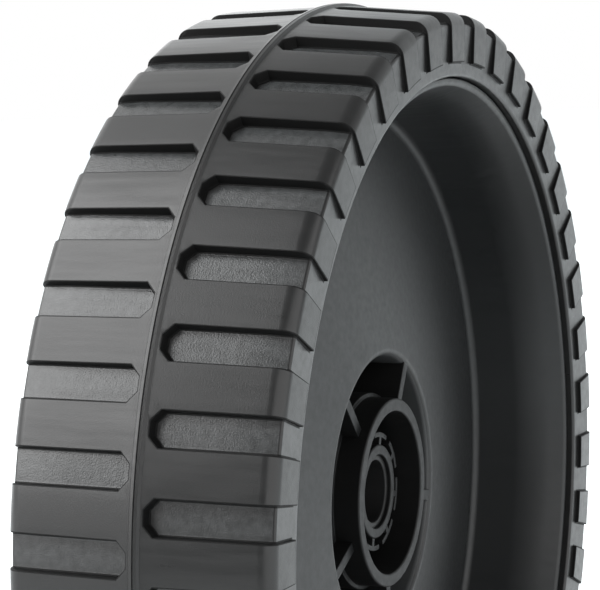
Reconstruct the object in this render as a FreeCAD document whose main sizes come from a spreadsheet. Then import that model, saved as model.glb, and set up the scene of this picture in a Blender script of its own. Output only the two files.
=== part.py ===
import FreeCAD
import Part
import Sketcher
import math
import os

# Lawn mower wheel, in millimetres. The wheel stands on its tread with its centre at the origin and
# turns about Y. The open face of the dish, with the hub ring, looks towards -Y.

SIZES = {
    # tyre: two coned rows of lugs that meet at a parting rib
    "wheel_d": 200.0,
    "rib_height": 0.6,
    "rib_width": 1.2,
    "rib_foot": 0.4,
    "near_width": 24.4,
    "near_drop": 1.9,
    "far_width": 25.0,
    "far_drop": 0.7,
    "shoulder_round": 2.8,
    "shoulder_lift": 0.45,
    "lug_rise": 1.1,
    "lug_reach": 11.6,
    "tyre_depth": 17.4,
    "bead_height": 2.9,
    "edge_bevel": 0.6,
    "lugs": 42,
    "groove_depth": 2.2,
    "groove_width": 6.4,
    "groove_tip": 2.6,
    "tip_gap": 1.65,
    "tip_slope": 1.75,
    "floor_bevel": 0.8,
    "tyre_turn": 3.2,
    # rim: a barrel with a flange at each edge, which keeps the tyre in place
    "rim_inset": 1.5,
    "rim_wall": 1.8,
    "flange_width": 3.8,
    "flange_slope": 2.5,
    "flange_clear": 0.2,
    "lip_wall": 1.0,
    "lip_bevel": 0.5,
    "flare_depth": 7.5,
    "flare_bend": 3.6,
    "flare_sweep": 0.8,
    "barrel_draft": 0.8,
    # disc: a shallow dish that rises from the barrel to the hub
    "disc_wall": 2.8,
    "disc_root": 0.6,
    "disc_rise": 6.8,
    "disc_bevel": 1.9,
    # hub: a ring pocket with webs, a hub ring and a bore tube in its well
    "recess_d": 56.2,
    "recess_bevel": 0.5,
    "pocket_wall": 2.5,
    "pocket_depth": 14.0,
    "pocket_floor": 2.4,
    "webs": 5,
    "web_width": 2.4,
    "web_drop": 0.4,
    "hub_ring_d": 38.8,
    "hub_ring_wall": 2.7,
    "hub_ring_rise": 1.7,
    "collar_rise": 0.9,
    "collar_drop": 5.6,
    "hub_bevel": 0.4,
    "well_floor": 4.5,
    "hub_back": 20.0,
    "back_bevel": 1.0,
    "body_turn": 29.5,
    # bore tube, with T-shaped webs that stand round it
    "tube_wall": 2.1,
    "tube_drop": 3.3,
    "hooks": 8,
    "hook_stem": 1.3,
    "hook_bar": 1.1,
    "hook_reach": 2.6,
    "hook_span": 7.4,
    "hook_drop": 0.3,
    "hook_turn": -17.0,
    # axle bush, pressed into the bore tube
    "bush_bore": 12.8,
    "bush_wall": 1.2,
    "bush_recess": 0.8,
    "bush_bevel": 0.3,
}


class Size:
    """A length together with the sheet formula that gives it."""

    def __init__(self, value, formula):
        self.value = value
        self.formula = formula

    def __add__(self, other):
        other = as_size(other)
        return Size(self.value + other.value, f"({self.formula} + {other.formula})")

    def __sub__(self, other):
        other = as_size(other)
        return Size(self.value - other.value, f"({self.formula} - {other.formula})")

    def __mul__(self, other):
        other = as_size(other)
        return Size(self.value * other.value, f"({self.formula} * {other.formula})")

    def __truediv__(self, other):
        other = as_size(other)
        return Size(self.value / other.value, f"({self.formula} / {other.formula})")

    def __neg__(self):
        return Size(-self.value, f"(-{self.formula})")


def as_size(number):
    """A plain number as a size, so that both can stand in one formula."""
    return number if isinstance(number, Size) else Size(number, repr(number))


def leg(slant, other):
    """The second leg of a right triangle."""
    value = math.sqrt(slant.value ** 2 - other.value ** 2)
    return Size(value, f"sqrt({slant.formula}^2 - {other.formula}^2)")


doc = FreeCAD.newDocument("mower_wheel")
sheet = doc.addObject("Spreadsheet::Sheet", "sizes")
for row, (alias, number) in enumerate(SIZES.items(), start=1):
    sheet.set(f"A{row}", alias)
    sheet.set(f"B{row}", str(number))
    sheet.setAlias(f"B{row}", alias)
doc.recompute()


def size(alias):
    return Size(SIZES[alias], f"sizes.{alias}")


def bind(feature, name, length):
    """Ties one property of a feature to the sheet."""
    feature.setExpression(name, length.formula)


def new_body(label):
    body = doc.addObject("PartDesign::Body", label)
    body.Label = label
    return body


def turn(item, place, axis, angle):
    """Turns a body or a sketch about an axis of its own through the wheel's centre."""
    rotation = FreeCAD.Rotation(FreeCAD.Vector(*axis), angle.value)
    setattr(item, place, FreeCAD.Placement(FreeCAD.Vector(), rotation))
    bind(item, f"{place}.Rotation.Angle", angle)


def origin_part(body, role):
    return next(part for part in body.Origin.OriginFeatures if part.Role == role)


def arc_between(start, end, radius):
    """Arc from start to end, counterclockwise for a positive radius, and the places of its two ends."""
    if radius < 0:
        start, end = end, start
    chord = end - start
    left = FreeCAD.Vector(-chord.y, chord.x, 0).normalize()
    centre = (start + end) * 0.5 + left * math.sqrt(radius ** 2 - (chord.Length / 2) ** 2)
    circle = Part.Circle(centre, FreeCAD.Vector(0, 0, 1), abs(radius))
    angles = [math.atan2(point.y - centre.y, point.x - centre.x) for point in (start, end)]
    if angles[1] < angles[0]:
        angles[1] += 2 * math.pi
    places = (1, 2) if radius > 0 else (2, 1)
    return Part.ArcOfCircle(circle, *angles), places


def outline(body, name, role, corners, arcs=None):
    """Closed sketch on an origin plane; arcs gives the signed radius that follows a corner."""
    sketch = body.newObject("Sketcher::SketchObject", name)
    sketch.AttachmentSupport = (origin_part(body, role), [""])
    sketch.MapMode = "FlatFace"
    arcs = arcs or {}
    points = [FreeCAD.Vector(across.value, up.value, 0) for across, up in corners]
    places = []
    for index, start in enumerate(points):
        end = points[(index + 1) % len(points)]
        if index in arcs:
            curve, ends = arc_between(start, end, arcs[index].value)
        else:
            curve, ends = Part.LineSegment(start, end), (1, 2)
        sketch.addGeometry(curve)
        places.append(ends)
    for index, (across, up) in enumerate(corners):
        after = (index + 1) % len(corners)
        join = (index, places[index][1], after, places[after][0])
        sketch.addConstraint(Sketcher.Constraint("Coincident", *join))
        for kind, length in (("DistanceX", across), ("DistanceY", up)):
            corner = (-1, 1, index, places[index][0])
            number = sketch.addConstraint(Sketcher.Constraint(kind, *corner, length.value))
            bind(sketch, f"Constraints[{number}]", length)
        if index in arcs:
            radius = arcs[index] if arcs[index].value > 0 else -arcs[index]
            number = sketch.addConstraint(Sketcher.Constraint("Radius", index, radius.value))
            bind(sketch, f"Constraints[{number}]", radius)
    return sketch


def spin(body, name, sketch, kind="PartDesign::Revolution", angle=None):
    """Turns a section about the axle, whole or, for a cut, over an angle to both sides of its plane."""
    feature = body.newObject(kind, name)
    feature.Profile = sketch
    feature.ReferenceAxis = (origin_part(body, "Y_Axis"), [""])
    if angle:
        feature.Midplane = True
        bind(feature, "Angle", angle)
    return feature


def repeat(body, name, features, count):
    """Repeats features all the way round the axle."""
    pattern = body.newObject("PartDesign::PolarPattern", name)
    pattern.Originals = features
    pattern.Axis = (origin_part(body, "Y_Axis"), [""])
    pattern.Angle = 360
    bind(pattern, "Occurrences", count)
    body.Tip = pattern
    return pattern


def bevel_rings(body, name, width, rings):
    """Bevels the ring edges of the newest feature that lie at the given places across and up."""
    doc.recompute()
    base = body.Tip
    edges = []
    for across, up in rings:
        for number, edge in enumerate(base.Shape.Edges, start=1):
            ring = edge.Curve
            if isinstance(ring, Part.Circle):
                miss = abs(ring.Radius - up.value) + abs(ring.Center.y - across.value)
                if miss < 1e-4:
                    edges.append(f"Edge{number}")
    if len(edges) < len(rings):
        raise RuntimeError(f"{name}: found {len(edges)} edges of {len(rings)}")
    bevel = body.newObject("PartDesign::Chamfer", name)
    bevel.Base = (base, edges)
    bind(bevel, "Size", width)
    return bevel


# places that more than one piece is built to
tread_r = size("wheel_d") / 2 - size("rib_height")
lug_end_r = tread_r - size("lug_reach")
drum_r = tread_r - size("tyre_depth")
edge_r = drum_r + size("bead_height")
rib_half = size("rib_width") / 2
rib_edge = rib_half + size("rib_foot")
bush_r = size("bush_bore") / 2 + size("bush_wall")
tube_r = bush_r + size("tube_wall")
disc_front = -size("disc_root") - size("disc_rise")
tube_front = disc_front - size("hub_ring_rise") + size("tube_drop")
hub_back = size("hub_back")

# where the middle of a quarter round lies, from its corner, as a share of its radius
ROUND_MIDDLE = 1 - math.sqrt(0.5)


class Row:
    """One row of lugs: its side of the rib, its width and how far its tread drops to the shoulder."""

    def __init__(self, name, side):
        self.name = name
        self.side = side
        self.width = size(f"{name}_width")
        self.drop = size(f"{name}_drop")
        self.base = self.width - size("lug_rise")

    def tread_at(self, across):
        return tread_r - self.drop * (across - rib_edge) / (self.width - rib_edge)

    def placed(self, section):
        """A section on the row's own side of the rib."""
        return [(across * self.side, up) for across, up in section]


near = Row("near", -1)
far = Row("far", 1)
rim_half = near.base - size("rim_inset")
flange_half = rim_half - size("flange_width")
drum_half = flange_half - size("flange_slope")


def row_section(row):
    """Section of the tyre on one side, from the rib over the shoulder and the bead to the drum."""
    round_start = row.width - size("shoulder_round")
    round_middle = size("shoulder_round") * ROUND_MIDDLE
    shoulder_r = tread_r - row.drop
    return row.placed([
        (rib_half, size("wheel_d") / 2),
        (rib_edge, tread_r),
        (round_start, row.tread_at(round_start)),
        (row.width - round_middle, shoulder_r - round_middle),
        (row.width, shoulder_r - size("shoulder_round")),
        (row.width, lug_end_r),
        (row.base, lug_end_r),
        (row.base, edge_r),
        (flange_half - size("flange_clear"), edge_r),
        (drum_half - size("flange_clear"), drum_r),
    ])


def groove_row(body, row, start):
    """One row of grooves, from chamfered tips beside the rib out to the sidewall, from a first angle."""
    corner = size("tip_gap") + size("tip_slope")
    side = row.width - size("shoulder_lift")
    bend = side - size("floor_bevel")
    corner_floor = row.tread_at(corner) - size("groove_depth")
    bend_floor = row.tread_at(bend) - size("groove_depth")
    above = size("wheel_d") / 2 + size("lug_rise")
    beyond = row.width + size("lug_rise")
    section = row.placed([
        (corner, above),
        (corner, corner_floor),
        (bend, bend_floor),
        (side, bend_floor - size("floor_bevel")),
        (row.base, lug_end_r),
        (beyond, lug_end_r),
        (beyond, above),
    ])
    run = outline(body, f"{row.name}_section", "YZ_Plane", section)
    turn(run, "AttachmentOffset", (1, 0, 0), start)
    angle = size("groove_width") / tread_r * math.degrees(1)
    channel = spin(body, f"{row.name}_channel", run, "PartDesign::Groove", angle)

    half_width = size("groove_width") / 2 * corner_floor / tread_r
    half_tip = size("groove_tip") / 2
    inside = corner + size("tip_slope")
    tip_plan = [
        (-half_tip, size("tip_gap") * row.side),
        (half_tip, size("tip_gap") * row.side),
        (half_width, corner * row.side),
        (half_tip, inside * row.side),
        (-half_tip, inside * row.side),
        (-half_width, corner * row.side),
    ]
    plan = outline(body, f"{row.name}_tip_plan", "XY_Plane", tip_plan)
    turn(plan, "AttachmentOffset", (0, 1, 0), start)
    plan.setExpression("AttachmentOffset.Base.x", f"{corner_floor.formula} * sin({start.formula} * 1 deg)")
    plan.setExpression("AttachmentOffset.Base.z", f"{corner_floor.formula} * cos({start.formula} * 1 deg)")
    tip = body.newObject("PartDesign::Pocket", f"{row.name}_tip")
    tip.Profile = plan
    tip.Reversed = True
    bind(tip, "Length", above - corner_floor)
    repeat(body, f"{row.name}_grooves", [channel, tip], size("lugs"))


def make_tyre():
    body = new_body("tyre")
    section = row_section(far) + row_section(near)[::-1]
    spin(body, "tyre_ring", outline(body, "tyre_section", "YZ_Plane", section))
    bead_edges = near.placed([(near.base, edge_r)]) + far.placed([(far.base, edge_r)])
    bevel_rings(body, "tyre_edges", size("edge_bevel"), bead_edges)
    groove_row(body, near, as_size(0))
    groove_row(body, far, as_size(180) / size("lugs"))
    turn(body, "Placement", (0, 1, 0), size("tyre_turn"))


def upright(body, name, plan, front, back):
    """A wall that stands along the axle, between two places across."""
    pad = body.newObject("PartDesign::Pad", name)
    pad.Profile = plan
    pad.SideType = "Two sides"
    bind(pad, "Length", -front)
    bind(pad, "Length2", back)
    return pad


def make_wheel_body():
    body = new_body("wheel_body")
    flange_r = edge_r - size("flange_clear")
    lip_r = flange_r - size("lip_wall")
    barrel_r = drum_r - size("rim_wall")
    flare = rim_half - size("flare_depth")
    flare_bend = flare + size("flare_bend")
    bend_r = barrel_r + size("flare_sweep")
    root_r = barrel_r - size("barrel_draft")
    recess_r = size("recess_d") / 2
    boss_r = recess_r + size("pocket_wall")
    ring_r = size("hub_ring_d") / 2
    collar_r = ring_r + size("collar_rise")
    ring_front = disc_front - size("hub_ring_rise")
    ring_inside = ring_r - size("hub_ring_wall")
    collar = ring_front + size("collar_drop")
    pocket_floor = disc_front + size("pocket_depth")
    boss_back = pocket_floor + size("pocket_floor")
    well_floor = hub_back - size("well_floor")
    disc_root = -size("disc_root")
    disc_back_root = size("disc_wall") + disc_root
    disc_slope = size("disc_rise") / (root_r - recess_r)
    disc_back_boss = disc_back_root - disc_slope * (root_r - boss_r)
    foot = size("disc_bevel")
    disc_foot_r = root_r - foot
    draft = size("barrel_draft") / (flare - size("disc_root"))
    back_draft = size("barrel_draft") / (flare - disc_back_root)
    lip = size("lip_bevel")
    front = [
        (-rim_half, flange_r),
        (-rim_half, lip_r),
        (lip - rim_half, lip_r - lip),
        (-flare_bend, bend_r),
        (-flare, barrel_r),
        (disc_root - foot, root_r + draft * foot),
        (disc_root - disc_slope * foot, disc_foot_r),
        (disc_front, recess_r),
        (pocket_floor, recess_r),
        (pocket_floor, collar_r),
        (collar, collar_r),
        (collar, ring_r),
        (ring_front, ring_r),
        (ring_front, ring_inside),
        (well_floor, ring_inside),
        (well_floor, tube_r),
        (tube_front, tube_r),
        (tube_front, bush_r),
    ]
    back = [
        (hub_back, bush_r),
        (hub_back, ring_r),
        (boss_back, ring_r),
        (boss_back, boss_r),
        (disc_back_boss, boss_r),
        (disc_back_root - disc_slope * foot, disc_foot_r),
        (disc_back_root + foot, root_r + back_draft * foot),
        (flare, barrel_r),
        (flare_bend, bend_r),
        (rim_half - lip, lip_r - lip),
        (rim_half, lip_r),
        (rim_half, flange_r),
    ]
    seat = [(flange_half, flange_r), (drum_half, drum_r), (-drum_half, drum_r), (-flange_half, flange_r)]
    spin(body, "body_ring", outline(body, "body_section", "YZ_Plane", front + back + seat))
    bevel_rings(body, "recess_edge", size("recess_bevel"), [(disc_front, recess_r)])
    hub_edges = [(ring_front, ring_r), (ring_front, ring_inside), (tube_front, tube_r)]
    bevel_rings(body, "hub_edges", size("hub_bevel"), hub_edges)
    bevel_rings(body, "back_edges", size("back_bevel"), [(hub_back, ring_r), (boss_back, boss_r)])

    half_web = size("web_width") / 2
    web_in = ring_r - size("hub_ring_wall") / 2
    web_out = recess_r + size("pocket_wall") / 2
    web_plan = [(-half_web, web_in), (half_web, web_in), (half_web, web_out), (-half_web, web_out)]
    web_sketch = outline(body, "web_plan", "XZ_Plane", web_plan)
    web = upright(body, "web", web_sketch, disc_front + size("web_drop"), pocket_floor)
    repeat(body, "webs", [web], size("webs"))

    stem = size("hook_stem") / 2
    bar_out = tube_r + size("hook_reach")
    bar_in = bar_out - size("hook_bar")
    half_span = size("hook_span") / 2
    tip_in = half_span * bar_in / bar_out
    stem_in = tube_r - size("tube_wall") / 2
    hook_plan = [
        (stem, stem_in),
        (stem, leg(bar_in, stem)),
        (tip_in, leg(bar_in, tip_in)),
        (half_span, leg(bar_out, half_span)),
        (-half_span, leg(bar_out, half_span)),
        (-tip_in, leg(bar_in, tip_in)),
        (-stem, leg(bar_in, stem)),
        (-stem, stem_in),
    ]
    hook_sketch = outline(body, "hook_plan", "XZ_Plane", hook_plan, {1: -bar_in, 3: bar_out, 5: -bar_in})
    turn(hook_sketch, "AttachmentOffset", (0, 0, 1), -size("hook_turn"))
    hook = upright(body, "hook", hook_sketch, tube_front + size("hook_drop"), well_floor)
    repeat(body, "hooks_round", [hook], size("hooks"))
    turn(body, "Placement", (0, 1, 0), size("body_turn"))


def make_axle_bush():
    body = new_body("axle_bush")
    bore_r = size("bush_bore") / 2
    front = tube_front + size("bush_recess")
    back = hub_back - size("bush_recess")
    section = [(front, bore_r), (back, bore_r), (back, bush_r), (front, bush_r)]
    spin(body, "bush_sleeve", outline(body, "bush_section", "YZ_Plane", section))
    bevel_rings(body, "bush_edges", size("bush_bevel"), [(front, bore_r), (back, bore_r)])


def write_parts():
    """Checks every feature and every finished shape, then writes one file for each piece."""
    doc.recompute()
    failed = [item.Name for item in doc.Objects if "Invalid" in item.State or "Error" in item.State]
    if failed:
        raise RuntimeError(f"failed features: {failed}")
    bodies = [item for item in doc.Objects if item.TypeId == "PartDesign::Body"]
    for body in bodies:
        if body.Shape.isNull() or not body.Shape.isValid() or len(body.Shape.Solids) != 1:
            raise RuntimeError(f"{body.Label} is not one sound solid")
    os.makedirs("parts", exist_ok=True)
    for body in bodies:
        body.Shape.exportStep(f"parts/{body.Label}.step")
        print(body.Label, "volume", round(body.Shape.Volume), "mm3")


make_tyre()
make_wheel_body()
make_axle_bush()
write_parts()
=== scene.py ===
import bmesh
import bpy
import math
from mathutils import Matrix, Vector


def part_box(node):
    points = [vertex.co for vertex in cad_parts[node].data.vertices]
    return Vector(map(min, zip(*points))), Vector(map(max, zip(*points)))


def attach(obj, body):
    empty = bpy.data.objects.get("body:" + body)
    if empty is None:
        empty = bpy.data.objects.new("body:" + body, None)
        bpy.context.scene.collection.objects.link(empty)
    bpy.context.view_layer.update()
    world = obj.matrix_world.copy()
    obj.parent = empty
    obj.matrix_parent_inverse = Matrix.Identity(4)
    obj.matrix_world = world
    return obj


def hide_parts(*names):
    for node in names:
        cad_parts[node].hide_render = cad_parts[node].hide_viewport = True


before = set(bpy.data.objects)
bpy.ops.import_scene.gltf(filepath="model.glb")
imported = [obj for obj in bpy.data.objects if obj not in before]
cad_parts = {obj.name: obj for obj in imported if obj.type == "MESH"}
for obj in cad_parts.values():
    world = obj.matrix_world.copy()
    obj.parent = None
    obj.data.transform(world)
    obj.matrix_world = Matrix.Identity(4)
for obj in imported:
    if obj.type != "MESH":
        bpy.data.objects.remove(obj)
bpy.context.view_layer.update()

# Lawn mower wheel. Pieces are shaped in millimetres, with the axle along Y and the open face of the
# dish towards -Y, and are brought to metres when they are finished.
MM = 0.001

# sizes that the frame gives
TYRE_LOW, TYRE_TOP = (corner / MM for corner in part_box("tyre"))
BODY_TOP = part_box("wheel_body")[1] / MM
BUSH_LOW, BUSH_TOP = (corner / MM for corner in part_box("axle_bush"))
WHEEL_R = TYRE_TOP.x

# tread: two coned rows of lugs, half a pitch apart, with a parting rib between them
PITCHES = 42
TYRE_TURN = math.radians(3.2)
RIB_HEIGHT = 0.6
RIB_VALLEY = 0.2
RIB_SLOT = 0.15
RIB_CREST = 0.7
RIB_FALL = 0.06
RIB_FOOT = 1.05
TREAD_R = WHEEL_R - RIB_HEIGHT
PITCH = 2 * math.pi * TREAD_R / PITCHES
PITCH_COLUMNS = 6
NEAR_DROP = 1.9
FAR_DROP = 0.7

# lugs and the grooves between them
GROOVE_DEPTH = 2.2
GROOVE_HALF = 3.2
TIP_HALF = 1.3
TIP = 1.65
TIP_CORNER = 3.4
NEAR_SHALLOW = 0.4
FAR_SHALLOW = 0.9
FLOOR_BREAK = 19.2
FLOOR_FALL = 0.3
FLOOR_ROUND = 0.5
TREAD_STATIONS = (TIP, TIP_CORNER, 8.5, 14.0, FLOOR_BREAK)
SHOULDER_ROUND = 2.8
SHOULDER_LIFT = 0.5
LUG_RISE = 0.85
LUG_END_R = 87.8
ARC_STEPS = 6
LUG_EDGE = 0.25
FLOOR_EDGE = 0.35

# inside of the tyre, which seats on the rim
BEAD_R = 84.9
BEAD_HEIGHT = 1.6
BEAD_ROUND = 0.7
BEAD_DRAFT = 0.05
SEAT_SIDE = 17.8
DRUM_SIDE = 15.3
DRUM_R = 82.0

# how closely points of a mesh have to meet
CUT_SNAP = 1e-6
LEVEL_SNAP = 1e-5
END_SNAP = 1e-4
SEAM_SNAP = 0.002
PLACE_DIGITS = 4

# from these angles on, an edge is shaded as sharp, and an edge of a bar is a corner to soften
SHARP_ANGLE = math.radians(38)
CORNER_ANGLE = math.radians(60)


def quarter_round(side, top, radius):
    """Points of a quarter round from a flat top to an upright side, without its first point."""
    turns = [math.pi / 2 * step / ARC_STEPS for step in range(1, ARC_STEPS + 1)]
    return [(side - radius * (1 - math.sin(turn)), top - radius * (1 - math.cos(turn))) for turn in turns]


def run_lengths(section):
    """Distance of each point of a section along it."""
    lengths = [0.0]
    for before, after in zip(section, section[1:]):
        lengths.append(lengths[-1] + (Vector(after) - Vector(before)).length)
    return lengths


class Row:
    """One row of lugs: sections of its lugs and of its groove floors, from the rib to inside the tyre."""

    def __init__(self, width, drop, shallow):
        self.width = width
        self.drop = drop
        self.shallow = shallow
        lug = self.lug_section()
        bead = self.bead_section()
        self.lug = lug + bead
        self.floor = self.floor_section() + bead
        self.run = run_lengths(self.lug)
        self.tip_run = self.run_to(TIP)
        self.corner_run = self.run_to(TIP_CORNER)
        self.shoulder_run = self.run_to(width - SHOULDER_ROUND)
        self.lug_end_run = self.run[len(lug) - 1]

    def run_to(self, across):
        """Distance along the lugs' skin to a point of the tread."""
        return self.run[self.lug.index((across, self.tread_at(across)))]

    def tread_at(self, across):
        """Radius of the coned tread at a distance from the rib."""
        return TREAD_R - self.drop * (across - RIB_FOOT) / (self.width - RIB_FOOT)

    def lug_section(self):
        """Outer skin of the lugs, from the rib over the shoulder to their inner ends."""
        crest = [(RIB_SLOT, WHEEL_R), (RIB_CREST, WHEEL_R - RIB_FALL)]
        rib = [(0.0, WHEEL_R - RIB_VALLEY), *crest, (RIB_FOOT, TREAD_R)]
        tread = [*TREAD_STATIONS, self.width - SHOULDER_ROUND]
        shoulder = quarter_round(self.width, self.tread_at(tread[-1]), SHOULDER_ROUND)
        middle_r = (shoulder[-1][1] + LUG_END_R) / 2
        side = [(self.width, middle_r), (self.width, LUG_END_R)]
        return rib + [(across, self.tread_at(across)) for across in tread] + shoulder + side

    def floor_at(self, across):
        """Radius of the groove floors, which are a little shallower towards the shoulder."""
        return self.tread_at(across) - GROOVE_DEPTH + self.shallow * across / self.width

    def floor_section(self):
        """Groove floors, with a point for each point of the lugs' skin."""
        tread = [0.0, RIB_SLOT, RIB_CREST, RIB_FOOT, *TREAD_STATIONS]
        straight = [(across, self.floor_at(across)) for across in tread]
        top = self.width - SHOULDER_LIFT
        bend = top - FLOOR_ROUND
        bend_r = self.floor_at(bend) - FLOOR_FALL
        shoulder = quarter_round(top, bend_r, FLOOR_ROUND)
        foot = Vector((self.width - LUG_RISE, LUG_END_R))
        middle = (Vector(shoulder[-1]) + foot) / 2
        return straight + [(bend, bend_r)] + shoulder + [tuple(middle), tuple(foot)]

    def bead_section(self):
        """From the lugs' inner ends round the bead and over the rim to the wheel's middle."""
        base = self.width - LUG_RISE
        side = [(base - BEAD_DRAFT, BEAD_R + BEAD_HEIGHT), (base - 2 * BEAD_DRAFT, BEAD_R + BEAD_ROUND)]
        turns = [math.pi / 2 * step / ARC_STEPS for step in range(1, ARC_STEPS + 1)]
        centre = Vector((side[-1][0] - BEAD_ROUND, BEAD_R + BEAD_ROUND))
        bead = [tuple(centre + BEAD_ROUND * Vector((math.cos(turn), -math.sin(turn)))) for turn in turns]
        return side + bead + [(SEAT_SIDE, BEAD_R), (DRUM_SIDE, DRUM_R), (0.0, DRUM_R)]

    def along(self, section, run):
        """Point of a section at a distance along the lugs' skin."""
        last = len(self.run) - 2
        index = next(step for step in range(last + 1) if run <= self.run[step + 1] or step == last)
        share = (run - self.run[index]) / (self.run[index + 1] - self.run[index])
        return Vector(section[index]).lerp(Vector(section[index + 1]), share)

    def wrap(self, point):
        """Brings a point of the flat strip (round, along, up) to its place at the top of the near side."""
        place = self.along(self.floor, point.y).lerp(self.along(self.lug, point.y), point.z / GROOVE_DEPTH)
        angle = point.x / TREAD_R
        return Vector((place.y * math.sin(angle), -place.x, place.y * math.cos(angle)))

    def groove_half_at(self, run):
        """Half the width of a groove's floor at a distance along the strip."""
        if run < self.corner_run:
            share = (run - self.tip_run) / (self.corner_run - self.tip_run)
            return TIP_HALF + (GROOVE_HALF - TIP_HALF) * share
        return GROOVE_HALF

    def on_lug(self, face):
        """True for a face of the flat strip that belongs to a lug or to the band beside the rib."""
        middle = face.calc_center_median()
        if middle.y > self.lug_end_run:
            return False
        return middle.y < self.tip_run or abs(middle.x) > self.groove_half_at(middle.y)


def once(parts):
    """List of parts of a mesh in the order that they come in, each of them once."""
    return list(dict.fromkeys(parts))


def cut(mesh, faces, point, normal):
    """Cuts the given faces along a plane."""
    edges = once(edge for face in faces for edge in face.edges)
    verts = once(vert for face in faces for vert in face.verts)
    geom = [*faces, *edges, *verts]
    bmesh.ops.bisect_plane(mesh, geom=geom, dist=CUT_SNAP, plane_co=point, plane_no=normal)


def faces_between(mesh, low, high):
    """Faces of the flat strip whose middle lies between two distances along it."""
    return [face for face in mesh.faces if low < face.calc_center_median().y < high]


def raise_lugs(mesh, row):
    """Extrudes the lugs from the flat strip and leaves the strip's own ends open."""
    lugs = [face for face in mesh.faces if row.on_lug(face)]
    raised = bmesh.ops.extrude_face_region(mesh, geom=lugs)["geom"]
    verts = [item for item in raised if isinstance(item, bmesh.types.BMVert)]
    bmesh.ops.translate(mesh, verts=verts, vec=(0, 0, GROOVE_DEPTH))
    bmesh.ops.delete(mesh, geom=lugs, context="FACES")
    ends = []
    for face in mesh.faces:
        middle = face.calc_center_median()
        if abs(abs(middle.x) - PITCH / 2) < END_SNAP or middle.y < END_SNAP:
            ends.append(face)
    bmesh.ops.delete(mesh, geom=ends, context="FACES")


def level_edges(mesh, height):
    """Edges at one height where a level face meets a wall."""
    found = []
    for edge in mesh.edges:
        if len(edge.link_faces) == 2 and all(abs(vert.co.z - height) < LEVEL_SNAP for vert in edge.verts):
            level = [abs(face.normal.z) > 0.5 for face in edge.link_faces]
            if level[0] != level[1]:
                found.append(edge)
    return found


def soften(mesh, edges, width, segments):
    """Rounds the given edges."""
    bmesh.ops.bevel(mesh, geom=edges, offset=width, offset_type="OFFSET", segments=segments, profile=0.5,
                    affect="EDGES", material=-1, clamp_overlap=True)


# order of the tyre's materials; a face of the strip that is less level than this is a lug's wall. Walls
# and the rounded edges at their tops and feet take a darker, duller rubber, which is painted shade on the
# walls and a painted contact shadow along the edges
LUG_SKIN, GROOVE_FLOOR, SHADED_WALL = 0, 1, 2
WALL_LEVEL = 0.97


def tread_strip(row):
    """One pitch of one row as a flat strip: round the wheel, along the section and up from the floor."""
    mesh = bmesh.new()
    length = row.run[-1]
    bmesh.ops.create_grid(mesh, x_segments=PITCH_COLUMNS, y_segments=1, size=0.5)
    bmesh.ops.scale(mesh, verts=mesh.verts, vec=(PITCH, length, 1))
    bmesh.ops.translate(mesh, verts=mesh.verts, vec=(0, length / 2, 0))
    for run in row.run[1:-1]:
        cut(mesh, mesh.faces[:], (0, run, 0), (0, 1, 0))
    slope = Vector((GROOVE_HALF - TIP_HALF, row.corner_run - row.tip_run, 0))
    for side in (-1, 1):
        channel = faces_between(mesh, row.corner_run, row.lug_end_run)
        cut(mesh, channel, (side * GROOVE_HALF, 0, 0), (1, 0, 0))
        tip = faces_between(mesh, row.tip_run, row.corner_run)
        cut(mesh, tip, (side * TIP_HALF, row.tip_run, 0), (slope.y, -side * slope.x, 0))
    for face in mesh.faces:
        side = face.calc_center_median().y > row.shoulder_run
        face.material_index = LUG_SKIN if side or row.on_lug(face) else GROOVE_FLOOR
    raise_lugs(mesh, row)
    mesh.normal_update()
    soften(mesh, level_edges(mesh, GROOVE_DEPTH), LUG_EDGE, 2)
    mesh.normal_update()
    soften(mesh, level_edges(mesh, 0), FLOOR_EDGE, 2)
    mesh.normal_update()
    # walls and rounded edges get the darker, duller rubber: painted shade and painted contact shadow
    for face in mesh.faces:
        if abs(face.normal.z) < WALL_LEVEL:
            face.material_index = SHADED_WALL
    return mesh


def sort_by_place(parts, place_of):
    """Sorts parts of a mesh by where they lie, so that the mesh has the same order in each run."""
    places = {part: tuple(round(value, PLACE_DIGITS) for value in place_of(part)) for part in parts}
    ranks = {part: rank for rank, part in enumerate(sorted(parts, key=places.get))}
    parts.sort(key=ranks.get)


def finished(name, mesh, materials):
    """Object of a finished mesh, in metres, with its seams closed and its faces outwards."""
    bmesh.ops.remove_doubles(mesh, verts=mesh.verts, dist=SEAM_SNAP)
    sort_by_place(mesh.verts, lambda vert: vert.co)
    sort_by_place(mesh.edges, lambda edge: (edge.verts[0].co + edge.verts[1].co) / 2)
    sort_by_place(mesh.faces, lambda face: face.calc_center_median())
    bmesh.ops.recalc_face_normals(mesh, faces=mesh.faces)
    bmesh.ops.scale(mesh, verts=mesh.verts, vec=(MM, MM, MM))
    for face in mesh.faces:
        face.smooth = True
    data = bpy.data.meshes.new(name)
    mesh.to_mesh(data)
    mesh.free()
    data.set_sharp_from_angle(angle=SHARP_ANGLE)
    for material in materials:
        data.materials.append(material)
    piece = bpy.data.objects.new(name, data)
    bpy.context.scene.collection.objects.link(piece)
    weighted = piece.modifiers.new("even_shading", "WEIGHTED_NORMAL")
    weighted.keep_sharp = True
    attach(piece, "root")
    return piece


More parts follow.
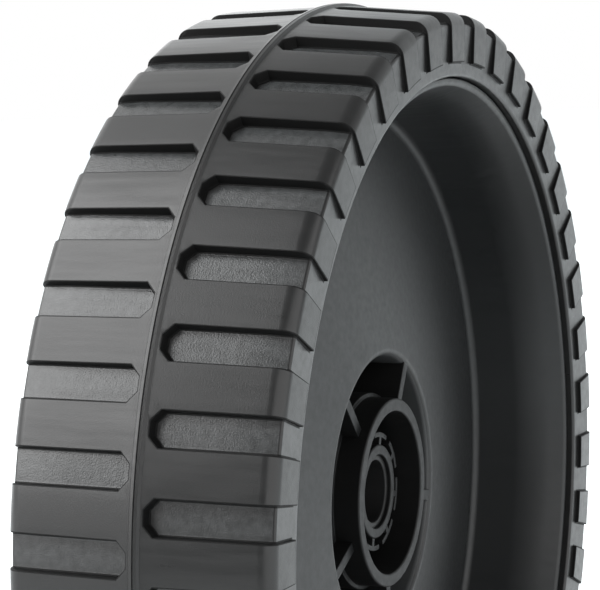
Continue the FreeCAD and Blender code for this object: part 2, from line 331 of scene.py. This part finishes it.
def add_row(mesh, row, matrix):
    """Adds a row of lugs to the tyre: one pitch, repeated round the axle and turned to its side."""
    strip = tread_strip(row)
    for vert in strip.verts:
        vert.co = row.wrap(vert.co)
    pitch = strip.verts[:] + strip.edges[:] + strip.faces[:]
    last_angle = 2 * math.pi * (PITCHES - 1) / PITCHES
    bmesh.ops.spin(strip, geom=pitch, cent=(0, 0, 0), axis=(0, 1, 0), angle=last_angle, steps=PITCHES - 1,
                   use_duplicate=True)
    bmesh.ops.rotate(strip, verts=strip.verts, cent=(0, 0, 0), matrix=matrix)
    data = bpy.data.meshes.new("row")
    strip.to_mesh(data)
    strip.free()
    mesh.from_mesh(data)
    bpy.data.meshes.remove(data)


def make_tyre(materials):
    """The near row, and the far row half a pitch on, joined at the rib and inside the tyre."""
    mesh = bmesh.new()
    near_side = Matrix.Rotation(TYRE_TURN, 3, "Y")
    half_pitch = Matrix.Rotation(math.pi / PITCHES, 3, "Y")
    far_side = near_side @ half_pitch @ Matrix.Rotation(math.pi, 3, "Z")
    add_row(mesh, Row(-TYRE_LOW.y, NEAR_DROP, NEAR_SHALLOW), near_side)
    add_row(mesh, Row(TYRE_TOP.y, FAR_DROP, FAR_SHALLOW), far_side)
    tyre = finished("tyre_skin", mesh, materials)
    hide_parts("tyre")
    return tyre


# wheel body: one moulding of rim, disc and hub
RING_STEPS = 240
RIM_HALF = BODY_TOP.y
FLANGE_HALF = 18.0
DRUM_HALF = 15.5
FLANGE_R = BODY_TOP.x
LIP_R = 83.3
FLARE = 14.3
BARREL_R = 80.2
ROOT_R = 79.4
DISC_ROOT = 0.2
DISC_FRONT = -7.4
DISC_WALL = 2.8
RECESS_R = 28.1
POCKET_FLOOR = 6.6
BOSS_BACK = 9.0
BOSS_R = 30.6
RING_FRONT = -9.1
RING_R = 19.4
RING_INSIDE = 16.7
COLLAR = -3.5
COLLAR_R = 20.3
WELL_FLOOR = 15.5
TUBE_FRONT = -5.8
TUBE_R = 9.7
BUSH_R = BUSH_TOP.x
HUB_BACK = 20.0
BODY_TURN = math.radians(29.5)
HOOK_TURN = math.radians(12.5)

# webs of the ring pocket, and T-shaped webs round the bore tube
WEBS = 5
WEB_WIDTH = 2.4
WEB_FRONT = -7.0
HOOKS = 8
HOOK_STEM = 1.3
HOOK_IN = 11.2
HOOK_OUT = 12.3
HOOK_HALF = math.radians(17.5)
HOOK_FRONT = -5.5
BAR_STEPS = 8
WEB_EDGE = 0.3
HOOK_EDGE = 0.2
WALL_SINK = 0.6
FLOOR_SINK = 0.5
BAR_SINK = 0.3

# sleeve in the bore tube
BORE_R = 6.4
BORE_EDGE = 0.3
SLEEVE_EDGE = 0.1


def body_section():
    """Corners of the body's section as across, radius and how much of each leg its round takes."""
    slope = (DISC_FRONT - DISC_ROOT) / (ROOT_R - RECESS_R)
    back_root = DISC_ROOT + DISC_WALL
    back_boss = back_root + slope * (ROOT_R - BOSS_R)
    front = [
        (-RIM_HALF, FLANGE_R, 0.3),
        (-RIM_HALF, LIP_R, 0.7),
        (-FLARE, BARREL_R, 4.2),
        (DISC_ROOT, ROOT_R, 2.0),
        (DISC_FRONT, RECESS_R, 1.6),
        (POCKET_FLOOR, RECESS_R, 0.8),
        (POCKET_FLOOR, COLLAR_R, 0.8),
        (COLLAR, COLLAR_R, 0.3),
        (COLLAR, RING_R, 0.2),
        (RING_FRONT, RING_R, 0.45),
        (RING_FRONT, RING_INSIDE, 0.45),
        (WELL_FLOOR, RING_INSIDE, 0.8),
        (WELL_FLOOR, TUBE_R, 0.8),
        (TUBE_FRONT, TUBE_R, 0.4),
        (TUBE_FRONT, BUSH_R, 0.3),
    ]
    back = [
        (HUB_BACK, BUSH_R, 0.4),
        (HUB_BACK, RING_R, 1.0),
        (BOSS_BACK, RING_R, 0.8),
        (BOSS_BACK, BOSS_R, 1.0),
        (back_boss, BOSS_R, 0.8),
        (back_root, ROOT_R, 3.0),
        (FLARE, BARREL_R, 4.2),
        (RIM_HALF, LIP_R, 0.7),
        (RIM_HALF, FLANGE_R, 0.3),
    ]
    seat = [
        (FLANGE_HALF, FLANGE_R, 0.2),
        (DRUM_HALF, DRUM_R, 0.3),
        (-DRUM_HALF, DRUM_R, 0.3),
        (-FLANGE_HALF, FLANGE_R, 0.2),
    ]
    return front + back + seat


def ring(section, round_steps=5):
    """Closed ring about the axle, spun from the corners of a section with their rounds."""
    mesh = bmesh.new()
    corners = [mesh.verts.new((0, across, radius)) for across, radius, _ in section]
    for index, corner in enumerate(corners):
        mesh.edges.new((corner, corners[(index + 1) % len(corners)]))
    for corner, (_, _, take) in zip(corners, section):
        bmesh.ops.bevel(mesh, geom=[corner], offset=take, offset_type="OFFSET", segments=round_steps,
                        profile=0.5, affect="VERTICES", material=-1)
    outline = mesh.verts[:] + mesh.edges[:]
    bmesh.ops.spin(mesh, geom=outline, cent=(0, 0, 0), axis=(0, 1, 0), angle=2 * math.pi, steps=RING_STEPS,
                   use_merge=True)
    return mesh


def add_block(mesh, low, high, edge):
    """Upright block between two corners, with softened edges, and its vertices."""
    made = bmesh.ops.create_cube(mesh, size=1)["verts"]
    low, high = Vector(low), Vector(high)
    bmesh.ops.scale(mesh, verts=made, vec=high - low)
    bmesh.ops.translate(mesh, verts=made, vec=(low + high) / 2)
    edges = once(item for vert in made for item in vert.link_edges)
    before = set(mesh.verts) - set(made)
    soften(mesh, edges, edge, 2)
    return [vert for vert in mesh.verts if vert not in before]


def add_bar(mesh, inside, outside, front, back, half_angle, edge):
    """Bar curved about the axle, centred at the top, with softened edges, and its vertices."""
    before = set(mesh.verts)
    corners = [mesh.verts.new((0, across, radius)) for across, radius in
               ((front, inside), (front, outside), (back, outside), (back, inside))]
    end = mesh.faces.new(corners)
    geom = [end, *end.edges, *end.verts]
    bmesh.ops.rotate(mesh, verts=corners, cent=(0, 0, 0), matrix=Matrix.Rotation(-half_angle, 3, "Y"))
    bmesh.ops.spin(mesh, geom=geom, cent=(0, 0, 0), axis=(0, 1, 0), angle=2 * half_angle, steps=BAR_STEPS)
    made = [vert for vert in mesh.verts if vert not in before]
    faces = once(face for vert in made for face in vert.link_faces)
    bmesh.ops.recalc_face_normals(mesh, faces=faces)
    sharp = [item for item in once(item for face in faces for item in face.edges)
             if len(item.link_faces) == 2 and item.calc_face_angle() > CORNER_ANGLE]
    soften(mesh, sharp, edge, 2)
    return [vert for vert in mesh.verts if vert not in before]


def round_axle(mesh, verts, count, start):
    """Turns a part of the mesh to its first angle and repeats it round the axle."""
    bmesh.ops.rotate(mesh, verts=verts, cent=(0, 0, 0), matrix=Matrix.Rotation(start, 3, "Y"))
    faces = once(face for vert in verts for face in vert.link_faces)
    edges = once(edge for vert in verts for edge in vert.link_edges)
    bmesh.ops.spin(mesh, geom=[*verts, *edges, *faces], cent=(0, 0, 0), axis=(0, 1, 0),
                   angle=2 * math.pi * (count - 1) / count, steps=count - 1, use_duplicate=True)


# order of the body's materials after the disc's own, and what counts as the hub and as its front. The
# hub's materials are darker than the disc's, which is painted shade, and the pocket's outer wall is
# lighter, which is painted light
HUB_SHADE, POCKET_LIGHT, HUB_FRONT_SHADE = 1, 2, 3
HUB_MARGIN = 0.5
FRONT_LIMIT = -3.0
FRONT_LEVEL = 0.7


def add_webs(mesh):
    """Webs across the ring pocket, sunk into the walls and the floor that they join."""
    low = (-WEB_WIDTH / 2, WEB_FRONT, RING_R - WALL_SINK)
    high = (WEB_WIDTH / 2, POCKET_FLOOR + FLOOR_SINK, RECESS_R + WALL_SINK)
    round_axle(mesh, add_block(mesh, low, high, WEB_EDGE), WEBS, BODY_TURN)


def add_hooks(mesh):
    """T-shaped webs round the bore tube: a stem and a curved bar."""
    back = WELL_FLOOR + FLOOR_SINK
    low = (-HOOK_STEM / 2, HOOK_FRONT, TUBE_R - WALL_SINK)
    high = (HOOK_STEM / 2, back, HOOK_IN + BAR_SINK)
    round_axle(mesh, add_block(mesh, low, high, HOOK_EDGE), HOOKS, HOOK_TURN)
    bar = add_bar(mesh, HOOK_IN, HOOK_OUT, HOOK_FRONT, back, HOOK_HALF, HOOK_EDGE)
    round_axle(mesh, bar, HOOKS, HOOK_TURN)


def colour_hub(mesh):
    """Gives the hub's front faces and the rest of the hub, with its deep walls, darker plastics than the
    disc's, which is painted shade, and the pocket's outer wall a lighter one, which is painted light.
    """
    mesh.normal_update()
    for face in mesh.faces:
        middle = face.calc_center_median()
        radius = math.hypot(middle.x, middle.z)
        front = abs(face.normal.y) > FRONT_LEVEL and middle.y < FRONT_LIMIT
        # hub faces get darker plastics than the disc: painted shade
        if radius < RECESS_R - HUB_MARGIN:
            face.material_index = HUB_FRONT_SHADE if front else HUB_SHADE
        # the pocket's outer wall gets a much lighter plastic: painted light
        elif radius < RECESS_R + HUB_MARGIN and DISC_FRONT < middle.y < POCKET_FLOOR and not front:
            face.material_index = POCKET_LIGHT


def make_wheel_body(materials):
    """Rim, disc and hub in one moulding, with their webs."""
    mesh = ring(body_section())
    add_webs(mesh)
    add_hooks(mesh)
    colour_hub(mesh)
    body = finished("wheel_moulding", mesh, materials)
    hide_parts("wheel_body")
    return body


def make_axle_bush(materials):
    """Plain sleeve in the bore tube."""
    section = [
        (BUSH_LOW.y, BORE_R, BORE_EDGE),
        (BUSH_TOP.y, BORE_R, BORE_EDGE),
        (BUSH_TOP.y, BUSH_R, SLEEVE_EDGE),
        (BUSH_LOW.y, BUSH_R, SLEEVE_EDGE),
    ]
    bush = finished("bore_bush", ring(section), materials)
    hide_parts("axle_bush")
    return bush


# finish of the mouldings: streaks of gloss along the axle, and the depth of the grain in metres
STREAK_SCALE = (700, 60, 700)
GLOSS_SPREAD = 0.12
GRAIN_DEPTH = 0.0002


def moulded(name, colour, roughness, grain, spread, cloud_scale=60, specular=0.5, grain_scale=4000):
    """Black moulded surface with fine grain, changes of tone and streaks of gloss."""
    material = bpy.data.materials.new(name)
    material.use_nodes = True
    nodes, links = material.node_tree.nodes, material.node_tree.links
    shader = nodes["Principled BSDF"]
    shader.inputs["Specular IOR Level"].default_value = specular
    place = nodes.new("ShaderNodeTexCoord")

    cloud = nodes.new("ShaderNodeTexNoise")
    cloud.inputs["Scale"].default_value = cloud_scale
    cloud.inputs["Detail"].default_value = 4
    links.new(place.outputs["Object"], cloud.inputs["Vector"])
    tone = nodes.new("ShaderNodeMix")
    tone.data_type = "RGBA"
    tone.inputs["A"].default_value = (*(part * (1 - spread) for part in colour), 1)
    tone.inputs["B"].default_value = (*(part * (1 + spread) for part in colour), 1)
    links.new(cloud.outputs["Fac"], tone.inputs["Factor"])
    links.new(tone.outputs["Result"], shader.inputs["Base Color"])

    along = nodes.new("ShaderNodeMapping")
    along.inputs["Scale"].default_value = STREAK_SCALE
    links.new(place.outputs["Object"], along.inputs["Vector"])
    streak = nodes.new("ShaderNodeTexNoise")
    streak.inputs["Scale"].default_value = 1
    streak.inputs["Detail"].default_value = 5
    links.new(along.outputs["Vector"], streak.inputs["Vector"])
    gloss = nodes.new("ShaderNodeMapRange")
    gloss.inputs["To Min"].default_value = roughness - GLOSS_SPREAD
    gloss.inputs["To Max"].default_value = roughness + GLOSS_SPREAD
    links.new(streak.outputs["Fac"], gloss.inputs["Value"])
    links.new(gloss.outputs["Result"], shader.inputs["Roughness"])

    fine = nodes.new("ShaderNodeTexNoise")
    fine.inputs["Scale"].default_value = grain_scale
    fine.inputs["Detail"].default_value = 2
    links.new(place.outputs["Object"], fine.inputs["Vector"])
    bump = nodes.new("ShaderNodeBump")
    bump.inputs["Strength"].default_value = grain
    bump.inputs["Distance"].default_value = GRAIN_DEPTH
    links.new(fine.outputs["Fac"], bump.inputs["Height"])
    links.new(bump.outputs["Normal"], shader.inputs["Normal"])
    return material


# stage, with lengths in metres
FLOOR_RADIUS = 6
FLOOR_MIDDLE = 5.5
FLOOR_TONE = 0.9
FLOOR_ROUGHNESS = 0.8
FILL = 0.35
COOL_WHITE = (0.92, 0.98, 1)
SUN_COLOUR = (0.88, 0.97, 1)
SUN_STRENGTH = 4
SUN_ANGLE = math.radians(30)
SUN_FROM = (-0.45, 0.45, 0.77)


def softbox(name, shape, size, place, aim, radiance, colour=(1, 1, 1)):
    """Even panel of light that faces a point; its power gives the brightness that a surface sees."""
    lamp = bpy.data.lights.new(name, "AREA")
    lamp.color = colour
    lamp.shape = shape
    lamp.size, lamp.size_y = size
    area = size[0] * size[1] * (math.pi / 4 if shape == "DISK" else 1)
    lamp.energy = radiance * math.pi * area
    panel = bpy.data.objects.new(name, lamp)
    away = Vector(place) - Vector(aim)
    panel.matrix_world = Matrix.Translation(place) @ away.to_track_quat("Z", "Y").to_matrix().to_4x4()
    bpy.context.scene.collection.objects.link(panel)
    return panel


def make_world():
    """White surroundings to the eye, with dim fill light."""
    world = bpy.data.worlds.new("studio")
    world.use_nodes = True
    nodes, links = world.node_tree.nodes, world.node_tree.links
    fill = nodes["Background"]
    fill.inputs["Color"].default_value = (1, 1, 1, 1)
    fill.inputs["Strength"].default_value = FILL
    backdrop = nodes.new("ShaderNodeBackground")
    backdrop.inputs["Color"].default_value = (1, 1, 1, 1)
    path = nodes.new("ShaderNodeLightPath")
    either = nodes.new("ShaderNodeMixShader")
    links.new(path.outputs["Is Camera Ray"], either.inputs["Fac"])
    links.new(fill.outputs["Background"], either.inputs[1])
    links.new(backdrop.outputs["Background"], either.inputs[2])
    links.new(either.outputs["Shader"], nodes["World Output"].inputs["Surface"])
    bpy.context.scene.world = world


def make_floor():
    """Pale round floor under the wheel, which reaches only a little way in front of the tread."""
    floor_mesh = bmesh.new()
    bmesh.ops.create_circle(floor_mesh, cap_ends=True, segments=96, radius=FLOOR_RADIUS)
    bmesh.ops.translate(floor_mesh, verts=floor_mesh.verts, vec=(FLOOR_MIDDLE, 0, -WHEEL_R * MM))
    data = bpy.data.meshes.new("floor")
    floor_mesh.to_mesh(data)
    floor_mesh.free()
    floor = bpy.data.objects.new("floor", data)
    bpy.context.scene.collection.objects.link(floor)
    material = bpy.data.materials.new("floor_white")
    material.use_nodes = True
    shader = material.node_tree.nodes["Principled BSDF"]
    shader.inputs["Base Color"].default_value = (FLOOR_TONE, FLOOR_TONE, FLOOR_TONE, 1)
    shader.inputs["Roughness"].default_value = FLOOR_ROUGHNESS
    data.materials.append(material)


def make_panels():
    """Soft panels: two on the far side for the tread, one in front for the dish and one behind."""
    side = softbox("side_box", "DISK", (1.5, 1.5), place=(-0.8, 0.6, 0.85), aim=(-0.8, 0, 0.85),
                   radiance=4.4)
    side.visible_diffuse = False
    softbox("wide_box", "DISK", (3.3, 3.3), place=(0, 0.62, 0), aim=(0, 0, 0), radiance=1.2)
    softbox("front_box", "RECTANGLE", (4, 1.8), place=(-0.65, -1.8, 0.6), aim=(0, 0, 0.2), radiance=1.5)
    softbox("back_box", "RECTANGLE", (4, 2.5), place=(2.5, 0, 1.2), aim=(0, 0, 1.2), radiance=0.7,
            colour=COOL_WHITE)


def make_floor_light():
    """Broad light from above that whitens the floor and isn't mirrored in the wheel."""
    lamp = bpy.data.lights.new("floor_light", "SUN")
    lamp.energy = SUN_STRENGTH
    lamp.angle = SUN_ANGLE
    lamp.color = SUN_COLOUR
    above = bpy.data.objects.new("floor_light", lamp)
    above.matrix_world = Vector(SUN_FROM).to_track_quat("Z", "Y").to_matrix().to_4x4()
    above.visible_glossy = False
    bpy.context.scene.collection.objects.link(above)


# camera: its place in millimetres, its turns in degrees, and its focal length in pixels of the picture
CAMERA_PLACE = (-421.613, -166.458, 85.197)
CAMERA_TURNS = (67.156, -5.608, -0.761)
FOCAL_PIXELS = 2217.2
PICTURE_WIDTH = 600


def make_camera():
    """Camera that looks at the tread and into the dish from slightly above."""
    place = Vector(CAMERA_PLACE) * MM
    yaw, pitch, roll = (math.radians(angle) for angle in CAMERA_TURNS)
    ahead = Vector((math.sin(yaw) * math.cos(pitch), math.cos(yaw) * math.cos(pitch), math.sin(pitch)))
    right = Vector((math.cos(yaw), -math.sin(yaw), 0))
    up = right.cross(ahead)
    turned_right = right * math.cos(roll) + up * math.sin(roll)
    turned_up = up * math.cos(roll) - right * math.sin(roll)
    data = bpy.data.cameras.new("camera")
    data.sensor_width = 36
    data.lens = FOCAL_PIXELS / PICTURE_WIDTH * data.sensor_width
    data.clip_start = 0.01
    data.clip_end = 50
    camera = bpy.data.objects.new("camera", data)
    axes = Matrix((turned_right, turned_up, -ahead)).transposed()
    camera.matrix_world = Matrix.Translation(place) @ axes.to_4x4()
    bpy.context.scene.collection.objects.link(camera)
    bpy.context.scene.camera = camera


lug_rubber = moulded("lug_rubber", (0.008, 0.008, 0.008), roughness=0.33, grain=0.1, spread=0.15)
groove_rubber = moulded("groove_rubber", (0.035, 0.035, 0.035), roughness=0.24, grain=0.2, spread=0.7,
                        cloud_scale=700, grain_scale=3600)
# darker, duller rubber of the lug walls and rounded edges: painted shade and painted contact shadow
wall_rubber_painted_shade = moulded("wall_rubber_painted_shade", (0.003, 0.003, 0.003), roughness=0.6, grain=0.05, spread=0.1,
                      specular=0.2)
# black plastic of the rim and disc; its slight blue-green tint is a painted reflection
wheel_plastic_painted_tint = moulded("wheel_plastic_painted_tint", (0.007, 0.008, 0.0085), roughness=0.44, grain=0.06, spread=0.12)
# darker plastic over the hub, its back included: painted shade
hub_plastic_painted_shade = moulded("hub_plastic_painted_shade", (0.003, 0.003, 0.003), roughness=0.6, grain=0.06, spread=0.12,
                      specular=0.2)
# front faces of the hub, a little less dark than the rest of the hub, with a slight blue-green tint:
# painted shade and a painted reflection tint
hub_front_painted_shade = moulded("hub_front_painted_shade", (0.005, 0.0055, 0.006), roughness=0.5, grain=0.06, spread=0.12,
                        specular=0.3)
# much lighter plastic on the pocket's outer wall, with a slight blue-green tint: painted light and a
# painted reflection tint
pocket_wall_painted_light = moulded("pocket_wall_painted_light", (0.04, 0.042, 0.043), roughness=0.5, grain=0.06, spread=0.12)
sleeve_plastic = moulded("sleeve_plastic", (0.006, 0.006, 0.006), roughness=0.5, grain=0.05, spread=0.1,
                         specular=0.3)

make_tyre([lug_rubber, groove_rubber, wall_rubber_painted_shade])
make_wheel_body([wheel_plastic_painted_tint, hub_plastic_painted_shade, pocket_wall_painted_light, hub_front_painted_shade])
make_axle_bush([sleeve_plastic])
make_floor()
make_world()
make_panels()
make_floor_light()
make_camera()
bpy.context.scene.view_settings.view_transform = "Standard"
